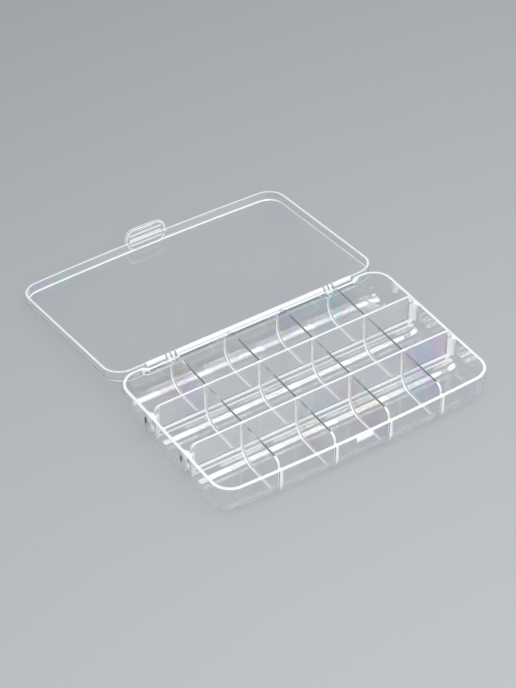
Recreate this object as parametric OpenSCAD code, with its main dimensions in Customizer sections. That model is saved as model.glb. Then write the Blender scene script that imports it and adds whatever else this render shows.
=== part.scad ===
// Clear plastic bead organizer: a tray of round-bottomed compartments and one hinged lid
// The origin is on the table under the middle of the tray, +X to the right, +Y to the hinge, +Z up
// The lid is drawn open, lying back behind the tray

/* [Box] */
// Length of the tray outside its rim
box_l = 173.7; // [140:0.1:230]
// Width of the tray outside its rim, at its ends
box_w = 106.8; // [85:0.1:140]
// Height of the tray's rim above the table
tray_h = 20; // [17:0.1:30]
// Radius of the tray's outside corners
corner_r = 12; // [8:0.5:16]
// How far the front swells outwards in the middle
front_bow = 1.7; // [0.8:0.1:4]
// Thickness of the tray's outside walls and rim
wall_t = 1.7; // [1.2:0.1:2.5]

/* [Compartments] */
// Inside radius along the bottom edges of a trough
trough_r = 9.5; // [6:0.5:11]
// Inside radius along the bottom edge of a trough's two ends
trough_end_r = 5.5; // [2:0.5:9]
// Inside radius of a trough's upright corners where two troughs meet
trough_corner_r = 5; // [3:0.5:7]
// Thickness of a trough's floor
floor_t = 1; // [0.8:0.1:2]
// Thickness of the dividers between two rows
row_divider_t = 1.3; // [0.8:0.1:2]
// Thickness of the dividers between two columns
column_divider_t = 1.1; // [0.8:0.1:2]
// How far the dividers rise above the rim, into the lid
divider_rise = 5.4; // [3:0.1:8]
// Radius of the dividers' top corners
divider_corner_r = 4; // [1:0.5:5]
// Space between a divider's raised end and the wall beside it
divider_end_gap = 0.8; // [0.5:0.1:2]
// Radius of the turned corners where a groove between two troughs closes upwards
groove_turn_r = 2.5; // [1.5:0.5:3]

/* [Lid] */
// Thickness of the lid's top panel
lid_panel_t = 1.1; // [0.8:0.1:2]
// Thickness of the lid's side wall
lid_wall_t = 1.3; // [0.9:0.1:2]
// How far the lid's side stands in from the tray's side
lid_inset = 0.2; // [0:0.1:0.5]
// Gap between the closed lid and the tray's rim
seam_gap = 0.2; // [0.1:0.05:0.5]
// Gap between the closed lid's panel and the tops of the dividers
lid_head_gap = 0.3; // [0.2:0.05:1]

/* [Hinge] */
// Diameter of the hinge pins
pin_d = 1.6; // [1.2:0.1:2]
// Radial clearance of a pin in its ear
pin_clearance = 0.05; // [0.02:0.01:0.1]
// Outside diameter of the hinge bar and the ears
barrel_d = 3; // [2.6:0.1:4]
// Distance of the hinge axis behind the tray's rear face
axis_setback = 0.62; // [0.4:0.01:1.5]
// Half length of the hinge bar
bar_half_l = 67; // [58:0.5:70]
// Width of one ear leaf
ear_t = 1.7; // [1.2:0.1:2.2]
// Gap between the two leaves of an ear, and on either side of them
ear_gap = 1.1; // [0.6:0.1:1.5]
// Width of an ear's mouth as a share of the pin's diameter
mouth_share = 0.8; // [0.6:0.05:0.9]
// Distance of an ear's arm below the rim
ear_arm_drop = 0.2; // [0:0.05:0.4]
// Height of the web between the lid's rear wall and the hinge bar
bar_web_h = 3; // [2:0.1:4]
// Room round the ears in the lid
notch_room = 0.4; // [0.3:0.05:0.8]
// Gap between the hinge bar and the rim in front of it
bar_gap = 0.32; // [0.3:0.01:0.8]
// How much deeper the recess in the rim is beside the ears than between them
deep_step = 1.3; // [0.6:0.1:1.8]
// Room under the hinge bar in the recess
barrel_room = 0.7; // [0.4:0.1:1.2]
// Thickness of the ledge under the recess
ledge_t = 1.2; // [0.8:0.1:2]
// Gap between the ends of the hinge bar and the steps of the recess
bar_end_gap = 1; // [0.5:0.1:2]

/* [Latch] */
// Length of the latch tab
tab_l = 27; // [20:0.5:36]
// How far the tab reaches below its hook
tab_tip = 1; // [0.6:0.1:4]
// How far the tab stands above the lid's panel
tab_rise = 1.1; // [0.5:0.1:2]
// Thickness of the latch tab
tab_t = 1.3; // [1:0.1:2.5]
// Corner radius of the latch tab
tab_corner_r = 6.5; // [3:0.5:6.5]
// Gap between the tab and the tray's front
tab_gap = 1.2; // [1.2:0.1:2.5]
// Distance of the tab's root above the rim of the lid
tab_root_gap = 0.6; // [0.3:0.1:2]
// Width of the raised border round the tab
tab_border_w = 1.4; // [0.8:0.1:2]
// How far the border and the grip ridges stand up from the tab
tab_relief = 0.6; // [0.3:0.1:1.2]
// Number of grip ridges on the tab
grip_count = 3; // [1:1:4]
// Width of a grip ridge
grip_w = 1.1; // [0.6:0.1:1.6]
// Gap between a grip ridge's ends and the border
grip_end_gap = 1.4; // [1:0.1:4]
// Length of the catch on the tray
catch_l = 10.5; // [6:0.5:16]
// Height of the catch
catch_h = 2.8; // [2:0.1:4]
// How far the catch stands out from the tray
catch_depth = 0.6; // [0.4:0.05:0.6]
// Distance of the catch below the rim
catch_drop = 0.5; // [0.2:0.1:2]
// How far the hook stands in from the tab
hook_depth = 0.4; // [0.2:0.05:0.45]
// Height of the hook
hook_h = 1.6; // [1:0.1:2.4]
// Gap between the closed hook and the underside of the catch
hook_gap = 0.2; // [0.1:0.05:0.5]

/* [Hidden] */
columns = 5;
rows = 3;
half_l = box_l / 2;
half_w = box_w / 2;
column_pitch = (box_l - wall_t) / columns;
row_pitch = (box_w - wall_t) / rows;
clear_plastic = [0.86, 0.92, 0.97, 0.45];
clear_lid = [0.80, 0.88, 0.97, 0.45];
round_fn = 96;
fuse = 0.01;
over = 1;
corner_slip = 0.3;

// The outline's corner centres and the wide arc of the front, which meets the corners smoothly
corner_x = half_l - corner_r;
corner_y = half_w - corner_r;
bow_k = (corner_x * corner_x + front_bow * front_bow) / (2 * front_bow);
bow_centre_y = bow_k - front_bow - corner_y;
bow_steps = 25;
function bow_radius(inset) = bow_k + corner_r - inset;
function front_y(x, inset) = bow_centre_y - sqrt(pow(bow_radius(inset), 2) - x * x);
bow_angle = asin(corner_x / bow_k);

// Heights of the tray
recess_h = barrel_d / 2 + barrel_room;
band_h = recess_h + ledge_t;
band_z = tray_h - band_h;
divider_top = tray_h + divider_rise;
arc_z = floor_t + trough_r;

// Troughs and dividers across the box
function row_divider_y(n) = -half_w + wall_t / 2 + row_pitch * n;
function column_divider_x(n) = -half_l + wall_t / 2 + column_pitch * n;
function trough_low(n) = n == 1 ? front_y(0, wall_t) : row_divider_y(n - 1) + row_divider_t / 2;
function trough_high(n) = n == rows ? half_w - wall_t : row_divider_y(n) - row_divider_t / 2;
inner_l = half_l - wall_t;

// The groove between two troughs runs up to this depth under a row divider and behind its ends
groove_run = trough_r + row_divider_t / 2;
groove_z = arc_z - sqrt(pow(trough_r + floor_t, 2) - pow(groove_run, 2));
groove_corner = trough_corner_r + wall_t;
groove_in = groove_corner - sqrt(pow(groove_corner, 2) - pow(trough_corner_r + row_divider_t / 2, 2));
row_divider_half = half_l - max(groove_in, wall_t + divider_end_gap);

// Hinge
axis_y = half_w + axis_setback;
axis_z = tray_h;
bore_d = pin_d + 2 * pin_clearance;
ear_w = 2 * ear_t + 3 * ear_gap;
hinge_x = column_divider_x(columns - 1);
ear_leaf_x = (ear_t + ear_gap) / 2;
notch_h = barrel_d / 2 + notch_room;
snap_mouth_w = pin_d * mouth_share;
recess_half_l = bar_half_l + bar_end_gap;
recess_end_l = recess_half_l - hinge_x + ear_w / 2;
shallow_recess = barrel_d / 2 - axis_setback + bar_gap;
deep_recess = shallow_recess + deep_step;

// Lid, drawn closed and then turned about the hinge axis
skirt_z = tray_h + seam_gap;
ceiling_z = divider_top + lid_head_gap;
lid_top = ceiling_z + lid_panel_t;

// Latch
tray_front = front_y(0, 0);
lid_front = front_y(0, lid_inset);
tab_back = tray_front - tab_gap;
tab_top = lid_top + tab_rise;
catch_top = tray_h - catch_drop;
catch_low = catch_top - catch_h;
hook_top = catch_low - hook_gap;
tab_low = hook_top - hook_h - tab_tip;
tab_h = tab_top - tab_low;
tab_r = min(tab_corner_r, tab_h / 2 - fuse);

// The open lid lies back until its tab rests on the table
tab_reach = axis_y - tab_back + tab_t + tab_relief;
tab_lift = tab_top - axis_z;
lid_drop = asin(axis_z / norm([tab_reach, tab_lift])) - atan(tab_lift / tab_reach);
lid_open_angle = 180 + lid_drop;

// The box seen from above, drawn in from its outside by inset
module outline(inset) {
    r = corner_r - inset;
    translate([-corner_x - r, -corner_y]) square([2 * (corner_x + r), 2 * corner_y]);
    translate([-corner_x, corner_y - fuse]) square([2 * corner_x, r + fuse]);
    for (sx = [-1, 1], sy = [-1, 1])
        translate([sx * corner_x, sy * corner_y]) circle(r = r, $fn = round_fn);
    polygon(concat(
        [for (n = [0:bow_steps])
            let (a = bow_angle * (2 * n / bow_steps - 1))
            [bow_radius(inset) * sin(a), bow_centre_y - bow_radius(inset) * cos(a)]],
        [[corner_x, -corner_y + fuse], [-corner_x, -corner_y + fuse]]
    ));
}

// A straight-sided channel with rounded bottom edges, from a to b and from low up to high
module channel(a, b, low, high, r) {
    translate([a, low + r]) square([b - a, high - low - r]);
    translate([a + r, low]) square([b - a - 2 * r, r + fuse]);
    for (p = [a + r, b - r])
        translate([p, low + r]) circle(r = r, $fn = round_fn);
}

// A flat shape drawn in Y and Z, made thick along X
module along_x(length, x = 0) {
    translate([x, 0, 0]) rotate([90, 0, 90]) linear_extrude(length, center = true) children();
}

// A flat shape drawn in X and Z, made thick along Y
module along_y(length, y = 0) {
    translate([0, y, 0]) rotate([90, 0, 0]) linear_extrude(length, center = true) children();
}

// Rounds the corners of a trough where it meets the next one, seen from above
// The rounding slips a little past the flat sides, so the curved faces cross instead of just touching
module trough_corners(n, half_length, r) {
    low = n == 1 ? -half_w - front_bow - over : row_divider_y(n - 1) + row_divider_t / 2;
    high = n == rows ? half_w + over : row_divider_y(n) - row_divider_t / 2;
    centre_x = half_length - r;
    low_y = n == 1 ? low : low + trough_corner_r - corner_slip;
    high_y = n == rows ? high : high - trough_corner_r + corner_slip;
    intersection() {
        translate([-half_length, low]) square([2 * half_length, high - low]);
        union() {
            translate([-half_length, low_y]) square([2 * half_length, high_y - low_y]);
            translate([-centre_x, low]) square([2 * centre_x, high - low]);
            if (n > 1)
                for (s = [-1, 1])
                    translate([s * centre_x, low_y]) circle(r = r, $fn = round_fn);
            if (n < rows)
                for (s = [-1, 1])
                    translate([s * centre_x, high_y]) circle(r = r, $fn = round_fn);
        }
    }
}

// A trough seen from above, inside its walls
module trough_plan_inside(n) {
    intersection() {
        outline(wall_t);
        trough_corners(n, inner_l, trough_corner_r);
    }
}

// The space inside a trough, open upwards to high
module trough_space(n, high) {
    intersection() {
        linear_extrude(high) trough_plan_inside(n);
        along_x(box_l) channel(trough_low(n), trough_high(n), floor_t, high, trough_r);
        along_y(3 * box_w) channel(-inner_l - corner_slip, inner_l + corner_slip, floor_t, high, trough_end_r);
    }
}

// The outside of a trough, up to the rim band
module trough_body(n) {
    low = n == 1 ? trough_low(n) - wall_t : trough_low(n) - floor_t;
    high = n == rows ? trough_high(n) + wall_t : trough_high(n) + floor_t;
    intersection() {
        linear_extrude(band_z) intersection() {
            outline(0);
            trough_corners(n, half_l, groove_corner);
        }
        along_x(box_l + over) channel(low, high, 0, tray_h, trough_r + floor_t);
        along_y(3 * box_w) channel(-half_l - corner_slip, half_l + corner_slip, 0, tray_h, trough_end_r + wall_t);
    }
}

module trough(n) {
    color(clear_plastic) difference() {
        trough_body(n);
        trough_space(n, tray_h);
    }
}

// The rear rim steps forwards to make room for the hinge bar
module hinge_recess_block() {
    end_l = recess_end_l + wall_t;
    deep = half_w - deep_recess - wall_t;
    shallow = half_w - shallow_recess - wall_t;
    for (x = [-recess_half_l - wall_t, recess_half_l + wall_t - end_l])
        translate([x, deep]) square([end_l, half_w - deep]);
    translate([-hinge_x, shallow]) square([2 * hinge_x, half_w - shallow]);
}

module hinge_recess_pocket() {
    for (x = [-recess_half_l, recess_half_l - recess_end_l])
        translate([x, half_w - deep_recess]) square([recess_end_l, deep_recess + over]);
    translate([-hinge_x, half_w - shallow_recess]) square([2 * hinge_x, shallow_recess + over]);
}

module tray_rim() {
    color(clear_plastic) difference() {
        translate([0, 0, band_z]) linear_extrude(band_h) difference() {
            outline(0);
            difference() {
                union() {
                    for (n = [1:rows]) trough_plan_inside(n);
                }
                hinge_recess_block();
            }
            for (n = [1:rows - 1])
                translate([-row_divider_half, row_divider_y(n) - row_divider_t / 2])
                    square([2 * row_divider_half, row_divider_t]);
        }
        translate([0, 0, tray_h - recess_h]) linear_extrude(recess_h + over) hinge_recess_pocket();
    }
}

module row_divider(n) {
    color(clear_plastic) along_y(row_divider_t, row_divider_y(n)) {
        w = row_divider_half;
        r = groove_turn_r;
        t = divider_corner_r;
        translate([-w, groove_z + r]) square([2 * w, divider_top - t - groove_z - r]);
        translate([-w + r, groove_z]) square([2 * (w - r), r + fuse]);
        translate([-w + t, divider_top - t - fuse]) square([2 * (w - t), t + fuse]);
        for (s = [-1, 1]) {
            translate([s * (w - r), groove_z + r]) circle(r = r, $fn = round_fn);
            translate([s * (w - t), divider_top - t]) circle(r = t, $fn = round_fn);
        }
    }
}

// The part of a column divider above the rim, rounded where it stands free of a wall
module divider_crest(low, high, free_low, free_high) {
    r = divider_corner_r;
    a = low + (free_low ? r : 0);
    b = high - (free_high ? r : 0);
    translate([low, tray_h - fuse]) square([high - low, divider_rise - r + fuse]);
    translate([a, divider_top - r - fuse]) square([b - a, r + fuse]);
    if (free_low) translate([a, divider_top - r]) circle(r = r, $fn = round_fn);
    if (free_high) translate([b, divider_top - r]) circle(r = r, $fn = round_fn);
}

module column_divider(k) {
    x = column_divider_x(k);
    rear_wall = half_w - wall_t - (k == 1 || k == columns - 1 ? deep_recess : shallow_recess);
    front_wall = front_y(abs(x), wall_t);
    color(clear_plastic) difference() {
        union() {
            for (n = [1:rows]) {
                crest_low = n == 1 ? front_wall + divider_end_gap : trough_low(n);
                crest_high = n == rows ? rear_wall - divider_end_gap : trough_high(n);
                along_x(column_divider_t, x) intersection() {
                    channel(trough_low(n), trough_high(n), floor_t, tray_h, trough_r);
                    translate([n == 1 ? front_wall : trough_low(n), 0])
                        square([box_w, tray_h]);
                }
                along_x(column_divider_t, x) divider_crest(crest_low, crest_high, n == 1, n == rows);
            }
        }
        translate([x - column_divider_t, rear_wall, band_z])
            cube([2 * column_divider_t, box_w, band_h + over]);
    }
}

// One leaf of a hinge ear: a ring round the pin on an arm from the rim, open where the pin snaps in
module ear_leaf(x) {
    translate([x, 0, 0]) difference() {
        along_x(ear_t) difference() {
            union() {
                translate([axis_y, axis_z]) circle(d = barrel_d, $fn = round_fn);
                translate([half_w - deep_recess, tray_h - recess_h])
                    square([axis_y - half_w + deep_recess, recess_h - ear_arm_drop]);
            }
            translate([axis_y, axis_z]) rotate(-45)
                translate([0, -snap_mouth_w / 2]) square([barrel_d, snap_mouth_w]);
        }
        translate([0, axis_y, axis_z]) rotate([0, 90, 0])
            cylinder(d = bore_d, h = ear_t + over, center = true, $fn = round_fn);
    }
}

module hinge_ears(side) {
    color(clear_plastic)
        for (s = [-1, 1]) ear_leaf(side * hinge_x + s * ear_leaf_x);
}

// A wedge that the lid's hook snaps under
module latch_catch() {
    out = tray_front - catch_depth;
    color(clear_plastic) along_x(catch_l) polygon([
        [tray_front, catch_low], [out, catch_low],
        [out, catch_low + catch_h / 2], [tray_front, catch_top]
    ]);
}

// Turns the closed lid about the hinge pins to where it lies open
module opened() {
    translate([0, axis_y, axis_z]) rotate([-lid_open_angle, 0, 0])
        translate([0, -axis_y, -axis_z]) children();
}

// The openings in the lid that let the ears in
module hinge_notches(low, high) {
    front = half_w - lid_inset - lid_wall_t - over;
    for (s = [-1, 1])
        translate([s * hinge_x - ear_w / 2, front, low])
            cube([ear_w, axis_y + barrel_d - front, high - low]);
}

module lid_panel() {
    color(clear_lid) opened() translate([0, 0, ceiling_z]) linear_extrude(lid_panel_t)
        outline(lid_inset);
}

module lid_skirt() {
    color(clear_lid) opened() difference() {
        translate([0, 0, skirt_z]) linear_extrude(ceiling_z - skirt_z) difference() {
            outline(lid_inset);
            outline(lid_inset + lid_wall_t);
        }
        hinge_notches(skirt_z - over, tray_h + notch_h);
    }
}

module hinge_bar() {
    wall = half_w - lid_inset;
    back = axis_y + barrel_d / 2;
    color(clear_lid) opened() difference() {
        along_x(2 * bar_half_l) difference() {
            union() {
                translate([axis_y, axis_z]) circle(d = barrel_d, $fn = round_fn);
                polygon([
                    [wall, skirt_z], [back, skirt_z],
                    [back, skirt_z + bar_web_h / 3], [wall, skirt_z + bar_web_h]
                ]);
            }
            translate([wall - 2 * lid_wall_t, skirt_z]) square([2 * lid_wall_t, barrel_d]);
        }
        hinge_notches(tray_h - barrel_d, tray_h + 2 * barrel_d);
    }
}

module hinge_pin(side) {
    color(clear_lid) opened() translate([side * hinge_x, axis_y, axis_z]) rotate([0, 90, 0])
        cylinder(d = pin_d, h = ear_w, center = true, $fn = round_fn);
}

// The tab's face seen from the front, drawn in from its edge by inset
module tab_face(inset) {
    r = tab_r - inset;
    w = tab_l / 2 - inset;
    low = tab_low + inset;
    high = tab_top - inset;
    translate([-w, low + r]) square([2 * w, high - low - 2 * r]);
    translate([-w + r, low]) square([2 * (w - r), high - low]);
    for (x = [-w + r, w - r], z = [low + r, high - r])
        translate([x, z]) circle(r = r, $fn = round_fn);
}

// The tab stands out from the lid's front wall on a root of its own outline
module latch_tab() {
    root_low = skirt_z + tab_root_gap;
    color(clear_lid) opened() union() {
        along_y(tab_t, tab_back - tab_t / 2) tab_face(0);
        intersection() {
            along_y(lid_front - tab_back + 2 * over, (tab_back + lid_front) / 2 + over - fuse) tab_face(0);
            translate([0, 0, root_low]) linear_extrude(tab_top - root_low) difference() {
                translate([-tab_l, tab_back - fuse]) square([2 * tab_l, tab_l]);
                outline(lid_inset);
            }
        }
    }
}

module tab_border() {
    color(clear_lid) opened() along_y(tab_relief, tab_back - tab_t - tab_relief / 2) difference() {
        tab_face(0);
        tab_face(tab_border_w);
    }
}

module grip_ridges() {
    pitch = (tab_h - 2 * tab_border_w) / (grip_count + 1);
    length = tab_l - 2 * (tab_border_w + grip_end_gap);
    face = tab_back - tab_t - tab_relief;
    color(clear_lid) opened()
        for (n = [1:grip_count])
            translate([-length / 2, face, tab_low + tab_border_w + pitch * n - grip_w / 2])
                cube([length, tab_relief, grip_w]);
}

module latch_hook() {
    color(clear_lid) opened() along_x(catch_l) polygon([
        [tab_back, hook_top], [tab_back + hook_depth, hook_top],
        [tab_back + hook_depth, hook_top - hook_h / 3], [tab_back, hook_top - hook_h]
    ]);
}

tray_rim();
trough(1);  // front_trough
trough(2);  // middle_trough
trough(3);  // rear_trough
row_divider(1);  // front_row_divider
row_divider(2);  // rear_row_divider
column_divider(1);  // column_divider_1
column_divider(2);  // column_divider_2
column_divider(3);  // column_divider_3
column_divider(4);  // column_divider_4
hinge_ears(-1);  // left_hinge_ears
hinge_ears(1);  // right_hinge_ears
latch_catch();
lid_panel();
lid_skirt();
hinge_bar();
hinge_pin(-1);  // left_hinge_pin
hinge_pin(1);  // right_hinge_pin
latch_tab();
tab_border();
grip_ridges();
latch_hook();
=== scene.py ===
# %% [markdown]
# # A clear bead organizer: one tray with fifteen round-bottomed cells and one hinged lid
# The real box is two mouldings of clear polystyrene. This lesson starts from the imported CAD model, keeps the small
# hinge and latch features that are right as they are, and models the tray and the lid again as two smooth mouldings.
# Lengths are written in millimetres and turned into metres by MM where a shape is made.

import math

import bmesh
import bpy
from mathutils import Matrix, Vector


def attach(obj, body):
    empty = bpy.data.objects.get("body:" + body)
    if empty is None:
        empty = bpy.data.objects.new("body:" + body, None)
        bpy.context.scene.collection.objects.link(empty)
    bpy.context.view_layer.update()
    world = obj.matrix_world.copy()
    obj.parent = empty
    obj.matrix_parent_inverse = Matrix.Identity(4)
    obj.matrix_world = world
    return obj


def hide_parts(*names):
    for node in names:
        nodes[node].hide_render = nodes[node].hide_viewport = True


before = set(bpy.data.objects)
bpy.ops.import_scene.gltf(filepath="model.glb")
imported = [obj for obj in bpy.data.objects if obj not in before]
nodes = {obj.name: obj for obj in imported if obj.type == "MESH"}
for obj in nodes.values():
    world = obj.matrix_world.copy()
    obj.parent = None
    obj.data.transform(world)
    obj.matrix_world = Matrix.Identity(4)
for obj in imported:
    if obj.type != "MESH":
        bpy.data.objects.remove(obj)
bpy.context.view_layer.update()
MM = 0.001

# %% [markdown]
# ## The main sizes
# The CAD model and this script share one set of sizes, so a wall that is modelled here lies where the CAD wall lies.
# The outside and the inside of each trough are written as separate values because a moulding is made by two
# separate steel surfaces, and the wall is simply what is left between them.

# %% Sizes of the tray
RIM_Z = 20.0
CREST_Z = 25.4
FLOOR = 1.0
WALL = 1.7
HALF_L = 86.85
HALF_W = 53.4
BOW = 1.7
BOW_REACH = 74.85
CORNER_R = 12.0
NEXT_R = 6.7
FLOOR_CORNER_R = 2.2
RING_STEPS = 14
LONG_R = 10.5
END_R = 7.2
ROW_LINE = 17.52
ROW_T = 1.3
ROW_HALF_L = 83.75
COLUMNS = (-51.6, -17.2, 17.2, 51.6)
COLUMN_T = 1.1
AXIS = Vector((0, 54.02, 20.0)) * MM

# %% Sizes of the lid, as it lies closed on the tray
LID_INSET = 0.2
LID_RIM_Z = 20.2
LID_TOP_Z = 26.8
LID_WALL = 1.3
LID_PANEL = 1.1
OPEN_ANGLE = 186.2138

# %% [markdown]
# ## Small helpers
# An operator works on whatever is selected, so every helper starts by selecting nothing. A cube is added at its
# size and place, and its edges are then picked in code by where they lie.

# %% Three materials, empty for now, that every new mesh carries in the same order
# The second material is a painted highlight: near-white faces that stand in for the light clear edges let out.
PAINTED_HIGHLIGHT_SLOT, STRESSED_SLOT = 1, 2
clear_plastic = bpy.data.materials.new("clear_polystyrene")
painted_highlight_edge = bpy.data.materials.new("painted_highlight_edge")
stressed_wall = bpy.data.materials.new("stressed_wall")


def give_slots(piece):
    for material in (clear_plastic, painted_highlight_edge, stressed_wall):
        piece.data.materials.append(material)


# %% Helper: a cube between two corners
def start_cube(name, low, high):
    bpy.ops.object.select_all(action="DESELECT")
    centre = [(a + b) / 2 * MM for a, b in zip(low, high)]
    bpy.ops.mesh.primitive_cube_add(size=1, location=centre)
    piece = bpy.context.object
    piece.name = name
    piece.scale = [(b - a) * MM for a, b in zip(low, high)]
    bpy.ops.object.transform_apply(location=True, rotation=True, scale=True)
    give_slots(piece)
    return piece


# %% Helper: pick edges or faces in edit mode
def edit(piece, kind):
    bpy.ops.object.select_all(action="DESELECT")
    piece.select_set(True)
    bpy.context.view_layer.objects.active = piece
    bpy.ops.object.mode_set(mode="EDIT")
    bpy.ops.mesh.select_mode(type=kind)
    bpy.ops.mesh.select_all(action="DESELECT")
    return bmesh.from_edit_mesh(piece.data)


def pick_edges(piece, test):
    mesh = edit(piece, "EDGE")
    for edge in mesh.edges:
        a, b = (vertex.co / MM for vertex in edge.verts)
        edge.select_set(bool(test(a, b)))
    bmesh.update_edit_mesh(piece.data)
    return sum(edge.select for edge in mesh.edges)


def pick_faces(piece, test):
    mesh = edit(piece, "FACE")
    for face in mesh.faces:
        face.select_set(bool(test(face.calc_center_median() / MM, face.normal)))
    bmesh.update_edit_mesh(piece.data)
    return sum(face.select for face in mesh.faces)


def leave_edit():
    bpy.ops.object.mode_set(mode="OBJECT")


# %% Helper: a boolean that uses up its cutter
def combine(piece, other, how):
    tool = piece.modifiers.new(how, "BOOLEAN")
    tool.operation = how
    tool.solver = "MANIFOLD"
    tool.object = other
    bpy.ops.object.select_all(action="DESELECT")
    piece.select_set(True)
    bpy.context.view_layer.objects.active = piece
    bpy.ops.object.modifier_apply(modifier=tool.name)
    bpy.data.objects.remove(other, do_unlink=True)
    return piece


# %% [markdown]
# ## The form of a trough
# A trough has a 10.5 mm radius along its length, a smaller one across its ends and another up its corners. Bevels
# made one after the other would leave creases where they meet. Here a flat outline is extruded downwards ring by
# ring, and each ring is drawn in along the sides, the ends and the corners by its own arc, as a mould cutter
# leaves it, so the three radii run into each other smoothly.

# %% Helper: one level of a trough's outline
CORNER_STEPS = 12


def level_of(form, z):
    """The insets of the long sides and the ends, and the corner radii, at one height."""
    rise = z - form["floor_z"]
    side, end = (r - math.sqrt(r * r - max(0.0, r - rise) ** 2) for r in (form["long_r"], form["end_r"]))
    share = 1 - side / form["long_r"]
    small = form["floor_corner_r"]
    corners = [small + (r - small) * share for r in (form["front_r"], form["back_r"])]
    return side, end, corners


def corner_centre(form, level, sx, sy):
    side, end, corners = level
    radius = corners[0] if sy < 0 else corners[1]
    y = form["low_y"] + side + radius if sy < 0 else form["high_y"] - side - radius
    return Vector((sx * (form["half_x"] - end - radius), y)), radius


# %% Helper: the form of one trough, outside or inside
def trough_form(name, form, top_z):
    bpy.ops.object.select_all(action="DESELECT")
    bpy.ops.mesh.primitive_circle_add(vertices=4 * (CORNER_STEPS + 1), radius=1, fill_type="NGON")
    piece = bpy.context.object
    piece.name = name
    give_slots(piece)
    level = level_of(form, top_z)
    for n, vertex in enumerate(piece.data.vertices):
        quarter, step = divmod(n, CORNER_STEPS + 1)
        sx, sy = ((1, 1), (-1, 1), (-1, -1), (1, -1))[quarter]
        turn = math.radians(90 * (quarter + step / CORNER_STEPS))
        centre, radius = corner_centre(form, level, sx, sy)
        spot = centre + radius * Vector((math.cos(turn), math.sin(turn)))
        vertex.co = Vector((spot.x, spot.y, top_z)) * MM
    mesh = edit(piece, "FACE")
    bpy.ops.mesh.select_all(action="SELECT")
    middle = (form["low_y"] + form["high_y"]) / 2
    angles = [math.radians(90 * n / RING_STEPS) for n in range(RING_STEPS + 1)]
    for angle in angles:
        z = form["floor_z"] + form["long_r"] * (1 - math.sin(angle))
        old, level = level, level_of(form, z)
        bpy.ops.mesh.extrude_region_move(TRANSFORM_OT_translate={"value": (0, 0, 0)})
        mesh = bmesh.from_edit_mesh(piece.data)
        for vertex in mesh.verts:
            if vertex.select:
                x, y, _ = vertex.co / MM
                sx, sy = math.copysign(1, x), math.copysign(1, y - middle)
                was, old_r = corner_centre(form, old, sx, sy)
                now, new_r = corner_centre(form, level, sx, sy)
                spot = now + (Vector((x, y)) - was) * (new_r / old_r)
                vertex.co = Vector((spot.x, spot.y, z)) * MM
        bmesh.update_edit_mesh(piece.data)
    bpy.ops.mesh.select_all(action="SELECT")
    bpy.ops.mesh.normals_make_consistent(inside=False)
    leave_edit()
    return piece


# %% Helper: the gentle swell of the front
def swell_front(piece, back_limit):
    """Cuts the long edges into nine, clear of the column dividers, then moves the front out along one wide arc."""
    pick_edges(piece, lambda a, b: abs(a.x - b.x) > 100)
    bpy.ops.mesh.subdivide(number_cuts=8)
    leave_edit()
    for vertex in piece.data.vertices:
        x, y, _ = vertex.co / MM
        if y < back_limit:
            vertex.co.y -= BOW * max(0.0, 1 - (x / BOW_REACH) ** 2) * MM
    return piece


# %% [markdown]
# ## The outside of the tray
# Three trough forms stand side by side and overlap by a little under the row dividers, which leaves the long
# grooves of the underside and the scallops at the two ends. A band closes the top of the notches between them.

# %% The outside: three forms and the band
SPLIT = ROW_LINE - ROW_T / 2
ROWS = [
    ("front", -HALF_W, -SPLIT - ROW_T + FLOOR, CORNER_R, NEXT_R),
    ("middle", -SPLIT - FLOOR, SPLIT + FLOOR, NEXT_R, NEXT_R),
    ("rear", SPLIT + ROW_T - FLOOR, HALF_W, NEXT_R, CORNER_R),
]
outsides = []
for name, low_y, high_y, front_r, back_r in ROWS:
    form = {
        "low_y": low_y, "high_y": high_y, "half_x": HALF_L, "floor_z": 0.0,
        "long_r": LONG_R, "end_r": END_R, "front_r": front_r, "back_r": back_r,
        "floor_corner_r": FLOOR_CORNER_R,
    }
    outsides.append(trough_form("outside_" + name, form, 22.0))
swell_front(outsides[0], -35)
band = start_cube("band", (-HALF_L + 0.1, -HALF_W + 0.1, 16.6), (HALF_L - 0.1, HALF_W - 0.1, 22.5))
pick_edges(band, lambda a, b: abs(a.z - b.z) > 1)
bpy.ops.mesh.bevel(offset=(CORNER_R - 0.1) * MM, segments=CORNER_STEPS, affect="EDGES")
leave_edit()
swell_front(band, -35)
tray = outsides[0]
for form in outsides[1:] + [band]:
    combine(tray, form, "UNION")
tray.name = "clear_tray"
print("outside", len(tray.data.vertices), "points")

# %% The rim is cut level and its outer edge eased
mesh = edit(tray, "EDGE")
bpy.ops.mesh.select_all(action="SELECT")
bpy.ops.mesh.bisect(plane_co=(0, 0, RIM_Z * MM), plane_no=(0, 0, 1), use_fill=True, clear_outer=True)
leave_edit()
count = pick_edges(tray, lambda a, b: min(a.z, b.z) > RIM_Z - 0.01)
bpy.ops.mesh.bevel(offset=0.35 * MM, segments=2, affect="EDGES")
leave_edit()
print("rim edges", count, "points", len(tray.data.vertices))


# %% [markdown]
# ## Painted highlights on the edges
# Clear plastic carries light inside its walls and lets it out where a wall ends or branches, so those places shine
# white. That light is painted: the faces there take the second slot, whose material is the same plastic made nearly
# white and opaque, a painted highlight. On the outside these are the strips behind each column divider and two lines
# beside each groove under a row divider. The wall between those two lines is a little misty, as the walls of the row
# dividers are: that is the third slot.

# %% Helper: give faces a material slot
def paint_faces(piece, slot, test):
    count = pick_faces(piece, test)
    piece.active_material_index = slot
    bpy.ops.object.material_slot_assign()
    leave_edit()
    print(piece.name, "slot", slot, "faces", count)


def paint_highlight(piece, test):
    paint_faces(piece, PAINTED_HIGHLIGHT_SLOT, test)
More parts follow.
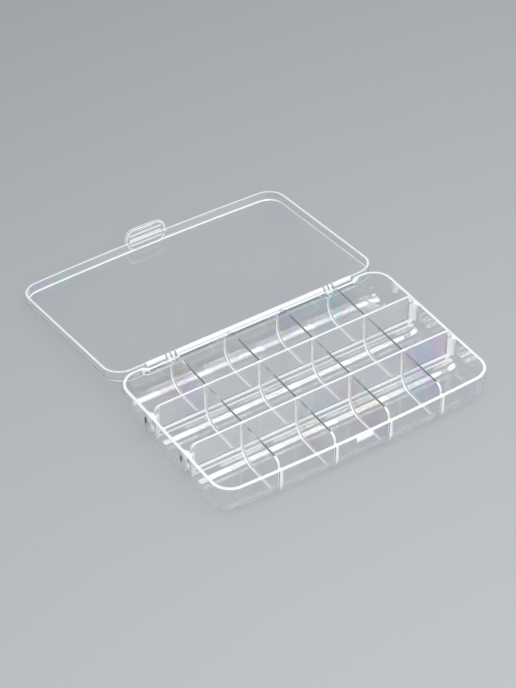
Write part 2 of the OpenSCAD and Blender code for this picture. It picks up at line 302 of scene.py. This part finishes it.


# %% Bisect the outside along the strips and paint highlights on them
GROOVE_Z = 7.81
FOOT_LINES = (7.1, 5.5, 4.8)
STRIP_HALF = 0.95
edit(tray, "EDGE")
planes = [((x + s * STRIP_HALF, 0, 0), (1, 0, 0)) for x in COLUMNS for s in (-1, 1)]
planes += [((0, 0, z), (0, 0, 1)) for z in FOOT_LINES]
for place, facing in planes:
    bpy.ops.mesh.select_all(action="SELECT")
    bpy.ops.mesh.bisect(plane_co=Vector(place) * MM, plane_no=facing)
leave_edit()
paint_highlight(tray, lambda centre, normal: normal.z < 0.05 and centre.z < RIM_Z - 0.4 and any(
    abs(centre.x - x) < STRIP_HALF for x in COLUMNS))


def beside_groove(centre, normal, low_z, high_z):
    near = 0 < ROW_LINE - centre.y < 3 or 0 < -ROW_LINE - centre.y < 3
    return near and normal.y > 0.3 and low_z < centre.z < high_z and abs(centre.x) < ROW_HALF_L


paint_highlight(tray, lambda centre, normal: beside_groove(centre, normal, FOOT_LINES[0], GROOVE_Z))
paint_highlight(tray, lambda centre, normal: beside_groove(centre, normal, FOOT_LINES[2], FOOT_LINES[1]))
paint_faces(tray, STRESSED_SLOT, lambda centre, normal: beside_groove(centre, normal, FOOT_LINES[1], FOOT_LINES[0]))

# %% [markdown]
# ## The dividers
# Each divider is a thin plate that rises above the rim. It is added here a little too thick and standing in the
# solid block of the tray, because the cells that are cut out next trim it to its real thickness.

# %% The plates of the row and column dividers
CREST_R = 4.0
SPARE = 0.2
CREST_GAP = 0.8
RECESS = {51.6: 2.5, 17.2: 1.2}


def front_bow(x):
    return BOW * max(0.0, 1 - (x / BOW_REACH) ** 2)


def divider_plate(name, low, high, along):
    """A plate between two corners, with the two top corners at its ends rounded."""
    piece = start_cube(name, low, high)
    count = pick_edges(piece, lambda a, b: min(a.z, b.z) > high[2] - 0.01 and abs(a[along] - b[along]) < 0.01)
    bpy.ops.mesh.bevel(offset=CREST_R * MM, segments=10, affect="EDGES")
    leave_edit()
    return piece


for line in (-ROW_LINE, ROW_LINE):
    half = ROW_T / 2 + SPARE
    plate = divider_plate("row", (-ROW_HALF_L, line - half, 12), (ROW_HALF_L, line + half, CREST_Z), 0)
    combine(tray, plate, "UNION")
for x in COLUMNS:
    half = COLUMN_T / 2 + SPARE
    front = -HALF_W + WALL - front_bow(x) + CREST_GAP
    back = HALF_W - WALL - RECESS[abs(x)] - CREST_GAP
    plate = divider_plate("column", (x - half, front, 12), (x + half, back, CREST_Z - 0.12), 1)
    combine(tray, plate, "UNION")
print("with plates", len(tray.data.vertices), "points")

# %% [markdown]
# ## The fifteen cells
# The inside of each trough is one more ring-by-ring form. Four thin slabs split it into five cells, and the edges
# where the slabs cut are bevelled, which leaves a small fillet where a divider meets the trough. On the real box the
# fillets catch the light as white arcs, so they take the second material slot, a painted highlight.

# %% The inside forms, split into cells
FILLET = 0.8
cells = []
for name, low_y, high_y, front_r, back_r in ROWS:
    inner_low = -HALF_W + WALL if name == "front" else low_y + FLOOR
    inner_high = HALF_W - WALL if name == "rear" else high_y - FLOOR
    form = {
        "low_y": inner_low, "high_y": inner_high, "half_x": HALF_L - WALL, "floor_z": FLOOR,
        "long_r": LONG_R - FLOOR, "end_r": END_R - WALL, "front_r": front_r - WALL, "back_r": back_r - WALL,
        "floor_corner_r": FLOOR_CORNER_R - FLOOR,
    }
    cell_row = trough_form("inside_" + name, form, 27.0)
    if name == "front":
        swell_front(cell_row, -35)
    for x in COLUMNS:
        slab = start_cube("slab", (x - COLUMN_T / 2, -60, 0), (x + COLUMN_T / 2, 60, 30))
        combine(cell_row, slab, "DIFFERENCE")
    cuts = [x + s * COLUMN_T / 2 for x in COLUMNS for s in (-1, 1)]
    count = pick_edges(cell_row, lambda a, b: any(abs(a.x - x) + abs(b.x - x) < 0.01 for x in cuts))
    # The bevel puts the fillets in the slot of the painted highlight.
    bpy.ops.mesh.bevel(offset=FILLET * MM, segments=2, affect="EDGES", material=PAINTED_HIGHLIGHT_SLOT)
    leave_edit()
    cells.append(cell_row)
    print(cell_row.name, "cut edges", count, "points", len(cell_row.data.vertices))

# %% [markdown]
# ## The recess for the hinge bar
# Behind the rear row the rim steps forwards to make room for the lid's hinge bar, in an S curve at each end. The
# same stepped block, a wall thickness further in, is left standing in the rear cells, so the wall follows the step.

# %% Helper: a block whose outer end is drawn into an S curve
def stepped_block(side, x_in, x_out, y_near, y_far, z_low, z_high, run):
    low_x, high_x = sorted((side * x_in, side * x_out))
    piece = start_cube("step", (low_x, y_near, z_low), (high_x, y_far + 3, z_high))
    end_x = side * x_out
    pick_edges(piece, lambda a, b: abs(a.x - end_x) < 0.01 and abs(b.x - end_x) < 0.01 and abs(a.y - b.y) > 1)
    bpy.ops.mesh.subdivide(number_cuts=20)
    leave_edit()
    for vertex in piece.data.vertices:
        x, y, _ = vertex.co / MM
        if abs(x - end_x) < 0.01:
            t = min(1.0, max(0.0, (y - y_near) / (y_far - y_near)))
            vertex.co.x += side * run * (t * t * (3 - 2 * t) - 0.5) * MM
    return piece


# %% Leave the wall of the recess standing in the rear cells, then cut the cells and the recess
RECESS_HALF_L = 68.0
RECESS_IN = 48.25
RECESS_Z = 17.8
BAND_Z = 16.6
STEP_RUN = 3.0
for side in (-1, 1):
    near = HALF_W - WALL - RECESS[51.6]
    block = stepped_block(side, RECESS_IN, RECESS_HALF_L + WALL, near, HALF_W - WALL, BAND_Z, 30, STEP_RUN)
    combine(cells[2], block, "DIFFERENCE")
near = HALF_W - WALL - RECESS[17.2]
block = start_cube("step", (-RECESS_IN - 0.1, near, BAND_Z), (RECESS_IN + 0.1, HALF_W, 30))
combine(cells[2], block, "DIFFERENCE")
for cell_row in cells:
    combine(tray, cell_row, "DIFFERENCE")
for side in (-1, 1):
    near = HALF_W - RECESS[51.6]
    pocket = stepped_block(side, RECESS_IN, RECESS_HALF_L, near, HALF_W, RECESS_Z, 22, STEP_RUN)
    combine(tray, pocket, "DIFFERENCE")
pocket = start_cube("pocket", (-RECESS_IN - 0.1, HALF_W - RECESS[17.2], RECESS_Z), (RECESS_IN + 0.1, HALF_W + 2, 22))
combine(tray, pocket, "DIFFERENCE")
print("tray", len(tray.data.vertices), "points", len(tray.data.polygons), "faces")

# %% [markdown]
# ## The lid
# The lid is a shallow tray of its own. It is modelled as it lies closed, where its sizes are plain to read, and
# turned back about the hinge axis at the end. An outside form loses an inside form, and what is left is an even wall.

# %% Helper: a slab with the outline of the box
def outline_slab(name, inset, low_z, high_z, edge_z, ease, steps):
    """A slab drawn in from the box's outside by inset, with the edge loop at edge_z eased."""
    side, end = HALF_L - inset, HALF_W - inset
    piece = start_cube(name, (-side, -end, low_z), (side, end, high_z))
    pick_edges(piece, lambda a, b: abs(a.z - b.z) > 1)
    bpy.ops.mesh.bevel(offset=(CORNER_R - inset) * MM, segments=CORNER_STEPS, affect="EDGES")
    leave_edit()
    swell_front(piece, -35)
    pick_edges(piece, lambda a, b: abs(a.z - edge_z) + abs(b.z - edge_z) < 0.01)
    bpy.ops.mesh.bevel(offset=ease * MM, segments=steps, affect="EDGES")
    leave_edit()
    return piece


# %% The lid's shell
lid = outline_slab("clear_lid", LID_INSET, LID_RIM_Z, LID_TOP_Z, LID_TOP_Z, 1.2, 5)
ceiling = LID_TOP_Z - LID_PANEL
hollow = outline_slab("hollow", LID_INSET + LID_WALL, LID_RIM_Z - 4, ceiling, ceiling, 0.7, 4)
combine(lid, hollow, "DIFFERENCE")
edit(lid, "EDGE")
bpy.ops.mesh.select_all(action="SELECT")
bpy.ops.mesh.bisect(plane_co=(0, 0, (ceiling - 0.6) * MM), plane_no=(0, 0, 1))
leave_edit()
print("lid shell", len(lid.data.vertices), "points")

# %% [markdown]
# ## The hinge bar
# Along the rear of the lid runs a round bar, joined to the wall by a sloping web. Its ends are rounded, as the
# photograph shows. Two gaps let in the ears of the tray, and the pins in them stay as the CAD model has them.

# %% The hinge bar, its web and the gaps for the ears
BAR_HALF_L = 67.0
BAR_R = 1.5
EAR_HALF = 3.35
bpy.ops.object.select_all(action="DESELECT")
bpy.ops.mesh.primitive_cylinder_add(
    vertices=40, radius=BAR_R * MM, depth=2 * BAR_HALF_L * MM, location=AXIS, rotation=(0, math.pi / 2, 0)
)
bar = bpy.context.object
give_slots(bar)
bpy.ops.object.transform_apply(location=True, rotation=True, scale=True)
pick_edges(bar, lambda a, b: abs(a.x - b.x) < 0.01)
bpy.ops.mesh.bevel(offset=0.6 * MM, segments=4, affect="EDGES")
leave_edit()
web = start_cube("web", (-BAR_HALF_L + 0.6, 52.6, LID_RIM_Z), (BAR_HALF_L - 0.6, 55.3, 23.2))
pick_edges(web, lambda a, b: min(a.y, b.y) > 55 and min(a.z, b.z) > 23)
bpy.ops.transform.translate(value=(0, 0, -2.0 * MM))
leave_edit()
# The round bar is painted all over with the highlight material, a painted highlight.
paint_highlight(bar, lambda centre, normal: True)
combine(bar, web, "UNION")
for side in (-1, 1):
    gap = start_cube("gap", (side * 51.6 - EAR_HALF, 50, 15), (side * 51.6 + EAR_HALF, 58, 21.9))
    combine(bar, gap, "DIFFERENCE")
    gap = start_cube("gap", (side * 51.6 - EAR_HALF, 50, 15), (side * 51.6 + EAR_HALF, 58, 21.9))
    combine(lid, gap, "DIFFERENCE")
    gap = start_cube("gap", (side * 51.6 - EAR_HALF, 53.2, 15), (side * 51.6 + EAR_HALF, 58, 26))
    combine(bar, gap, "DIFFERENCE")
combine(lid, bar, "UNION")
print("lid with bar", len(lid.data.vertices), "points")

# %% [markdown]
# ## The latch tab
# The tab is a rounded plate on the front of the lid with a raised border, three grip ridges and a small hook
# inside. Its field is inset and pushed in, which leaves the border standing, and the ridges are set into the field.

# %% The tab's plate and border
TAB_HALF_L = 13.5
TAB_LOW_Z = 13.9
TAB_HIGH_Z = 27.9
TAB_FACE_Y = -58.2
TAB_BACK_Y = -56.3
TAB_RELIEF = 0.6
BORDER_W = 1.4
tab = start_cube("tab", (-TAB_HALF_L, TAB_FACE_Y, TAB_LOW_Z), (TAB_HALF_L, TAB_BACK_Y, TAB_HIGH_Z))
pick_edges(tab, lambda a, b: abs(a.y - b.y) > 1)
bpy.ops.mesh.bevel(offset=6.5 * MM, segments=12, affect="EDGES")
leave_edit()
pick_faces(tab, lambda centre, normal: normal.y < -0.99)
bpy.ops.mesh.inset(thickness=BORDER_W * MM, depth=0)
bpy.ops.mesh.extrude_region_move(TRANSFORM_OT_translate={"value": (0, TAB_RELIEF * MM, 0)})
leave_edit()
pick_edges(tab, lambda a, b: abs(a.y - b.y) < 0.01 and max(abs(a.x), abs(b.x)) > 0 and (
    abs(a.y - TAB_FACE_Y) < 0.01 or abs(a.y - TAB_BACK_Y) < 0.01))
bpy.ops.mesh.bevel(offset=0.28 * MM, segments=3, affect="EDGES")
leave_edit()
# The front of the tab's border gets a painted highlight.
paint_highlight(tab, lambda centre, normal: centre.y < TAB_FACE_Y + 0.3)

# %% The grip ridges, the root and the hook
RIDGE_W = 1.1
RIDGE_HALF_L = 10.7
PITCH = (TAB_HIGH_Z - TAB_LOW_Z - 2 * BORDER_W) / 4
for n in (1, 2, 3):
    z = TAB_LOW_Z + BORDER_W + PITCH * n
    low = (-RIDGE_HALF_L, TAB_FACE_Y, z - RIDGE_W / 2)
    ridge = start_cube("ridge", low, (RIDGE_HALF_L, TAB_FACE_Y + 1.2, z + RIDGE_W / 2))
    pick_edges(ridge, lambda a, b: min(abs(a.y - TAB_FACE_Y), 1) + min(abs(b.y - TAB_FACE_Y), 1) < 0.01)
    bpy.ops.mesh.bevel(offset=0.3 * MM, segments=3, affect="EDGES")
    leave_edit()
    # The front of each ridge gets a painted highlight.
    paint_highlight(ridge, lambda centre, normal: centre.y < TAB_FACE_Y + 0.35)
    combine(tab, ridge, "UNION")
root = start_cube("root", (-11.5, TAB_BACK_Y - 0.4, 21.0), (11.5, -54.3, 26.2))
combine(tab, root, "UNION")
hook = start_cube("hook", (-5.25, TAB_BACK_Y - 0.3, 14.9), (5.25, TAB_BACK_Y + 0.4, 16.5))
pick_edges(hook, lambda a, b: min(a.y, b.y) > TAB_BACK_Y and max(a.z, b.z) < 15)
bpy.ops.transform.translate(value=(0, 0, 1.0 * MM))
leave_edit()
combine(tab, hook, "UNION")
combine(lid, tab, "UNION")
print("lid with tab", len(lid.data.vertices), "points")

# %% [markdown]
# ## Painted highlights on the rims and crests
# The flat top of the rim, the crests of the row dividers with their rounded ends, and the open edge of the lid all
# end a wall, so they get the painted highlight too. The crests of the column dividers stay clear: on the real box
# they read as thin dark lines.

# %% Paint highlights on the rims and crests
paint_highlight(tray, lambda centre, normal: normal.z > 0.3 and (abs(centre.z - RIM_Z) < 0.4 or centre.z > CREST_Z - 0.05))
paint_highlight(tray, lambda centre, normal: abs(normal.y) < 0.3 and centre.z > RIM_Z + 0.05 and (
    abs(centre.x) > ROW_HALF_L - CREST_R - 0.1))
paint_highlight(tray, lambda centre, normal: normal.y < -0.9 and 8.4 < centre.z < 9.4 and abs(centre.x) < ROW_HALF_L and (
    abs(abs(centre.y) - ROW_LINE) < 1.5))
paint_highlight(tray, lambda centre, normal: abs(normal.x) > 0.2 and abs(normal.y) > 0.55 and abs(centre.x) > 79 and (
    abs(abs(centre.y) - ROW_LINE) < 5 and 8 < centre.z < RIM_Z and abs(centre.x) < HALF_L - WALL + 0.01))
paint_highlight(tray, lambda centre, normal: abs(normal.z) < 0.5 and 5 < centre.z < BAND_Z and abs(centre.x) > 80 and (
    abs(abs(centre.y) - ROW_LINE) < 0.9))
paint_highlight(tray, lambda centre, normal: abs(normal.z) < 0.3 and RECESS_Z < centre.z < RIM_Z and centre.y > HALF_W - 3 and (
    65 < abs(centre.x) < 71))
paint_highlight(tray, lambda centre, normal: abs(normal.x) < 0.3 and abs(normal.y) > 0.05 and centre.z > RIM_Z + 0.2 and (
    abs(centre.y) > 44))
paint_highlight(tray, lambda centre, normal: normal.z < -0.9 and abs(centre.z - BAND_Z) < 0.05 and centre.y > HALF_W - 6)
paint_highlight(lid, lambda centre, normal: normal.z < -0.9 and abs(centre.z - LID_RIM_Z) < 0.05)
paint_highlight(lid, lambda centre, normal: -0.9 < normal.z < -0.2 and ceiling - 0.7 < centre.z < ceiling and (
    centre.y < -45 or centre.x > 80))
paint_highlight(lid, lambda centre, normal: -0.1 < normal.z < 0.8 and ceiling - 0.6 < centre.z < LID_TOP_Z and (
    centre.y > TAB_BACK_Y + 0.5))

# %% The misty walls: the row dividers, the rear wall and the lid's front wall
paint_faces(tray, STRESSED_SLOT, lambda centre, normal: abs(normal.y) > 0.95 and centre.z > 9 and (
    abs(abs(centre.y) - ROW_LINE) < ROW_T))
paint_faces(tray, STRESSED_SLOT, lambda centre, normal: normal.y < -0.95 and centre.y > HALF_W - 6 and centre.z > 9)
paint_faces(tray, STRESSED_SLOT, lambda centre, normal: abs(normal.x) > 0.95 and any(
    abs(abs(centre.x - x) - COLUMN_T / 2) < 0.01 for x in COLUMNS))
paint_faces(lid, STRESSED_SLOT, lambda centre, normal: normal.y > 0.9 and centre.y < -HALF_W + 3 and centre.z > 20.3)

# %% [markdown]
# ## Opening the lid, and smooth shading
# The lid is turned about the line of its pins to where it lies open with its tab on the table. Flat faces keep
# their own normals by a weighted normal modifier, so that the clear walls show no false ripples.

# %% Turn the lid back
turn = Matrix.Rotation(-math.radians(OPEN_ANGLE), 4, "X")
lid.data.transform(Matrix.Translation(AXIS) @ turn @ Matrix.Translation(-AXIS))
lid.data.update()


def smooth(piece):
    bpy.ops.object.select_all(action="DESELECT")
    piece.select_set(True)
    bpy.context.view_layer.objects.active = piece
    bpy.ops.object.shade_smooth_by_angle(angle=math.radians(32))
    normals = piece.modifiers.new("normals", "WEIGHTED_NORMAL")
    normals.keep_sharp = True
    bpy.ops.object.modifier_apply(modifier=normals.name)


for piece in (tray, lid):
    smooth(piece)

# %% [markdown]
# ## Clear polystyrene
# Polystyrene has a high refractive index, 1.59, and moulded parts carry frozen stress that shows as faint tints of
# teal, violet and amber. The tints, the flow marks and the fine surface unevenness come from one node group that
# both materials share.

# %% The node group for moulded plastic
def moulded_group():
    group = bpy.data.node_groups.new("moulded_plastic", "ShaderNodeTree")
    face = group.interface
    for name, low in (("Tint", 0.05), ("Haze", 0.03), ("Base Roughness", 0.03)):
        face.new_socket(name=name, in_out="INPUT", socket_type="NodeSocketFloat").default_value = low
    face.new_socket(name="Color", in_out="OUTPUT", socket_type="NodeSocketColor")
    face.new_socket(name="Roughness", in_out="OUTPUT", socket_type="NodeSocketFloat")
    face.new_socket(name="Height", in_out="OUTPUT", socket_type="NodeSocketFloat")
    make, link = group.nodes.new, group.links.new
    start, end = make("NodeGroupInput"), make("NodeGroupOutput")
    place = make("ShaderNodeTexCoord")
    stress = make("ShaderNodeTexNoise")
    stress.inputs["Scale"].default_value = 24.0
    stress.inputs["Detail"].default_value = 1.5
    stress.inputs["Distortion"].default_value = 1.2
    link(place.outputs["Object"], stress.inputs["Vector"])
    bands = make("ShaderNodeMath")
    bands.operation = "MULTIPLY"
    bands.inputs[1].default_value = 3.0
    link(stress.outputs["Fac"], bands.inputs[0])
    wrap = make("ShaderNodeMath")
    wrap.operation = "FRACT"
    link(bands.outputs[0], wrap.inputs[0])
    ramp = make("ShaderNodeValToRGB")
    colours = (
        (0.0, (0.62, 0.66, 1.0)), (0.3, (0.50, 0.90, 0.88)), (0.55, (1.0, 0.84, 0.58)), (0.8, (0.80, 0.60, 1.0)),
        (1.0, (0.62, 0.66, 1.0)),
    )
    ramp.color_ramp.elements[0].position = colours[0][0]
    ramp.color_ramp.elements[0].color = (*colours[0][1], 1)
    ramp.color_ramp.elements[1].position = 1.0
    ramp.color_ramp.elements[1].color = (*colours[-1][1], 1)
    for spot, colour in colours[1:-1]:
        ramp.color_ramp.elements.new(spot).color = (*colour, 1)
    link(wrap.outputs[0], ramp.inputs["Fac"])
    blend = make("ShaderNodeMix")
    blend.data_type = "RGBA"
    blend.inputs[6].default_value = (0.99, 0.993, 1.0, 1)
    patch = make("ShaderNodeTexNoise")
    patch.inputs["Scale"].default_value = 16.0
    patch.inputs["Detail"].default_value = 0.0
    link(place.outputs["Object"], patch.inputs["Vector"])
    where = make("ShaderNodeMapRange")
    where.interpolation_type = "SMOOTHSTEP"
    where.inputs["From Min"].default_value = 0.48
    where.inputs["From Max"].default_value = 0.66
    link(patch.outputs["Fac"], where.inputs["Value"])
    amount = make("ShaderNodeMath")
    amount.operation = "MULTIPLY"
    link(start.outputs["Tint"], amount.inputs[0])
    link(where.outputs["Result"], amount.inputs[1])
    link(amount.outputs[0], blend.inputs[0])
    link(ramp.outputs["Color"], blend.inputs[7])
    link(blend.outputs[2], end.inputs["Color"])
    scuff = make("ShaderNodeTexNoise")
    scuff.inputs["Scale"].default_value = 140.0
    scuff.inputs["Detail"].default_value = 4.0
    link(place.outputs["Object"], scuff.inputs["Vector"])
    rough = make("ShaderNodeMath")
    rough.operation = "MULTIPLY_ADD"
    link(scuff.outputs["Fac"], rough.inputs[0])
    link(start.outputs["Haze"], rough.inputs[1])
    link(start.outputs["Base Roughness"], rough.inputs[2])
    link(rough.outputs[0], end.inputs["Roughness"])
    flow = make("ShaderNodeTexNoise")
    flow.inputs["Scale"].default_value = 55.0
    flow.inputs["Detail"].default_value = 1.0
    link(place.outputs["Object"], flow.inputs["Vector"])
    link(flow.outputs["Fac"], end.inputs["Height"])
    return group


moulded = moulded_group()


# %% The clear material and the painted highlight on the edges
def plastic_look(material, tint, haze, roughness, transmission, bump, white):
    material.use_nodes = True
    tree = material.node_tree
    tree.nodes.clear()
    make, link = tree.nodes.new, tree.links.new
    output = make("ShaderNodeOutputMaterial")
    shader = make("ShaderNodeBsdfPrincipled")
    group = make("ShaderNodeGroup")
    group.node_tree = moulded
    group.inputs["Tint"].default_value = tint
    group.inputs["Haze"].default_value = haze
    group.inputs["Base Roughness"].default_value = roughness
    ripple = make("ShaderNodeBump")
    ripple.inputs["Strength"].default_value = bump
    ripple.inputs["Distance"].default_value = 0.0004
    link(group.outputs["Height"], ripple.inputs["Height"])
    link(group.outputs["Color"], shader.inputs["Base Color"])
    link(group.outputs["Roughness"], shader.inputs["Roughness"])
    link(ripple.outputs["Normal"], shader.inputs["Normal"])
    shader.inputs["IOR"].default_value = 1.59
    shader.inputs["Transmission Weight"].default_value = transmission
    shader.inputs["Coat Weight"].default_value = 0.8
    shader.inputs["Coat Roughness"].default_value = 0.02
    shader.inputs["Coat IOR"].default_value = 1.59
    rays = make("ShaderNodeLightPath")
    open_air = make("ShaderNodeBsdfTransparent")
    open_air.inputs["Color"].default_value = white
    shade = make("ShaderNodeMixShader")
    passing = make("ShaderNodeMath")
    passing.operation = "MAXIMUM"
    link(rays.outputs["Is Shadow Ray"], passing.inputs[0])
    link(rays.outputs["Is Diffuse Ray"], passing.inputs[1])
    link(passing.outputs[0], shade.inputs[0])
    link(shader.outputs[0], shade.inputs[1])
    link(open_air.outputs[0], shade.inputs[2])
    link(shade.outputs[0], output.inputs["Surface"])


plastic_look(clear_plastic, 0.06, 0.02, 0.01, 1.0, 0.05, (0.945, 0.95, 0.955, 1))
plastic_look(stressed_wall, 0.5, 0.06, 0.03, 0.86, 0.08, (0.93, 0.935, 0.94, 1))
# The edge material is almost opaque near-white plastic: a painted highlight for light leaving the edges.
plastic_look(painted_highlight_edge, 0.0, 0.10, 0.12, 0.03, 0.15, (0.85, 0.86, 0.87, 1))
# The hinge ears and the latch catch take the painted highlight all over; the pins stay clear.
for name, material in (
    ("left_hinge_ears", painted_highlight_edge), ("right_hinge_ears", painted_highlight_edge), ("latch_catch", painted_highlight_edge),
    ("left_hinge_pin", clear_plastic), ("right_hinge_pin", clear_plastic),
):
    for slot in nodes[name].material_slots:
        slot.material = material

# %% [markdown]
# ## The floor, the light and the camera
# The box stands on a plain pale floor, one wide sheet. A large softbox hangs over it and draws the long white bars
# along the troughs, and a smaller one in front lights the walls that face the camera. The camera is the one that was fitted
# to the photograph's lines.

# %% The floor
bpy.ops.object.select_all(action="DESELECT")
bpy.ops.mesh.primitive_plane_add(size=8, location=(0, 0, -0.3 * MM))
floor = bpy.context.object
floor.name = "floor"
floor_paint = bpy.data.materials.new("pale_floor")
floor_paint.use_nodes = True
paint = floor_paint.node_tree.nodes["Principled BSDF"]
paint.inputs["Base Color"].default_value = (0.455, 0.463, 0.475, 1)
paint.inputs["Roughness"].default_value = 0.75
floor.data.materials.append(floor_paint)

# %% The lights
def softbox(name, place, aim, size_x, size_y, power):
    lamp = bpy.data.lights.new(name, "AREA")
    lamp.shape = "RECTANGLE"
    lamp.size, lamp.size_y, lamp.energy = size_x, size_y, power
    stand = bpy.data.objects.new(name, lamp)
    bpy.context.collection.objects.link(stand)
    stand.location = place
    stand.rotation_euler = (Vector(aim) - Vector(place)).to_track_quat("-Z", "Y").to_euler()
    return stand


softbox("overhead_softbox", (0.0, -0.38, 1.0), (0.0, 0.0, 0.0), 1.3, 0.58, 9)
softbox("front_softbox", (-0.5, -1.5, 0.8), (0.0, 0.0, 0.0), 0.9, 0.6, 9)
softbox("side_softbox", (1.3, 0.6, 0.6), (0.0, 0.0, 0.0), 0.5, 0.9, 2)
studio = bpy.data.worlds.new("studio")
bpy.context.scene.world = studio
studio.use_nodes = True
make, link = studio.node_tree.nodes.new, studio.node_tree.links.new
air = studio.node_tree.nodes["Background"]
air.inputs["Color"].default_value = (0.62, 0.64, 0.67, 1)
rays = make("ShaderNodeLightPath")
seen = make("ShaderNodeMath")
seen.operation = "MAXIMUM"
link(rays.outputs["Is Camera Ray"], seen.inputs[0])
link(rays.outputs["Is Glossy Ray"], seen.inputs[1])
seen_through = make("ShaderNodeMath")
seen_through.operation = "MAXIMUM"
link(seen.outputs[0], seen_through.inputs[0])
link(rays.outputs["Is Transmission Ray"], seen_through.inputs[1])
level = make("ShaderNodeMapRange")
level.inputs["To Min"].default_value = 0.5
level.inputs["To Max"].default_value = 0.85
link(seen_through.outputs[0], level.inputs["Value"])
link(level.outputs["Result"], air.inputs["Strength"])

# %% The camera
view = bpy.data.cameras.new("camera")
view.lens = 171.567
view.sensor_width = 36
view.sensor_fit = "HORIZONTAL"
view.clip_start = 0.05
camera = bpy.data.objects.new("camera", view)
bpy.context.collection.objects.link(camera)
right = Vector((0.834422693, -0.55112483, -0.000437923))
up = Vector((0.36079096, 0.54564939, 0.75637069))
back = Vector((-0.41661572, -0.63129087, 0.65414309))
camera.matrix_world = Matrix.Translation((-0.56299, -0.80729, 0.89287)) @ Matrix((right, up, back)).transposed().to_4x4()
bpy.context.scene.camera = camera
bpy.context.scene.view_settings.view_transform = "Standard"
cycles = bpy.context.scene.cycles
cycles.max_bounces = cycles.transmission_bounces = 28
cycles.transparent_max_bounces = 28
cycles.glossy_bounces = 5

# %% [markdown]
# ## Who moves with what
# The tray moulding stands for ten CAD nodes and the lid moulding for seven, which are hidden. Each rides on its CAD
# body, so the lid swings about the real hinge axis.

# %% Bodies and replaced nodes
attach(tray, "tray")
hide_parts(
    "tray_rim", "front_trough", "middle_trough", "rear_trough", "front_row_divider", "rear_row_divider",
    "column_divider_1", "column_divider_2", "column_divider_3", "column_divider_4",
)
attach(lid, "lid")
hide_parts("lid_panel", "lid_skirt", "hinge_bar", "latch_tab", "tab_border", "grip_ridges", "latch_hook")
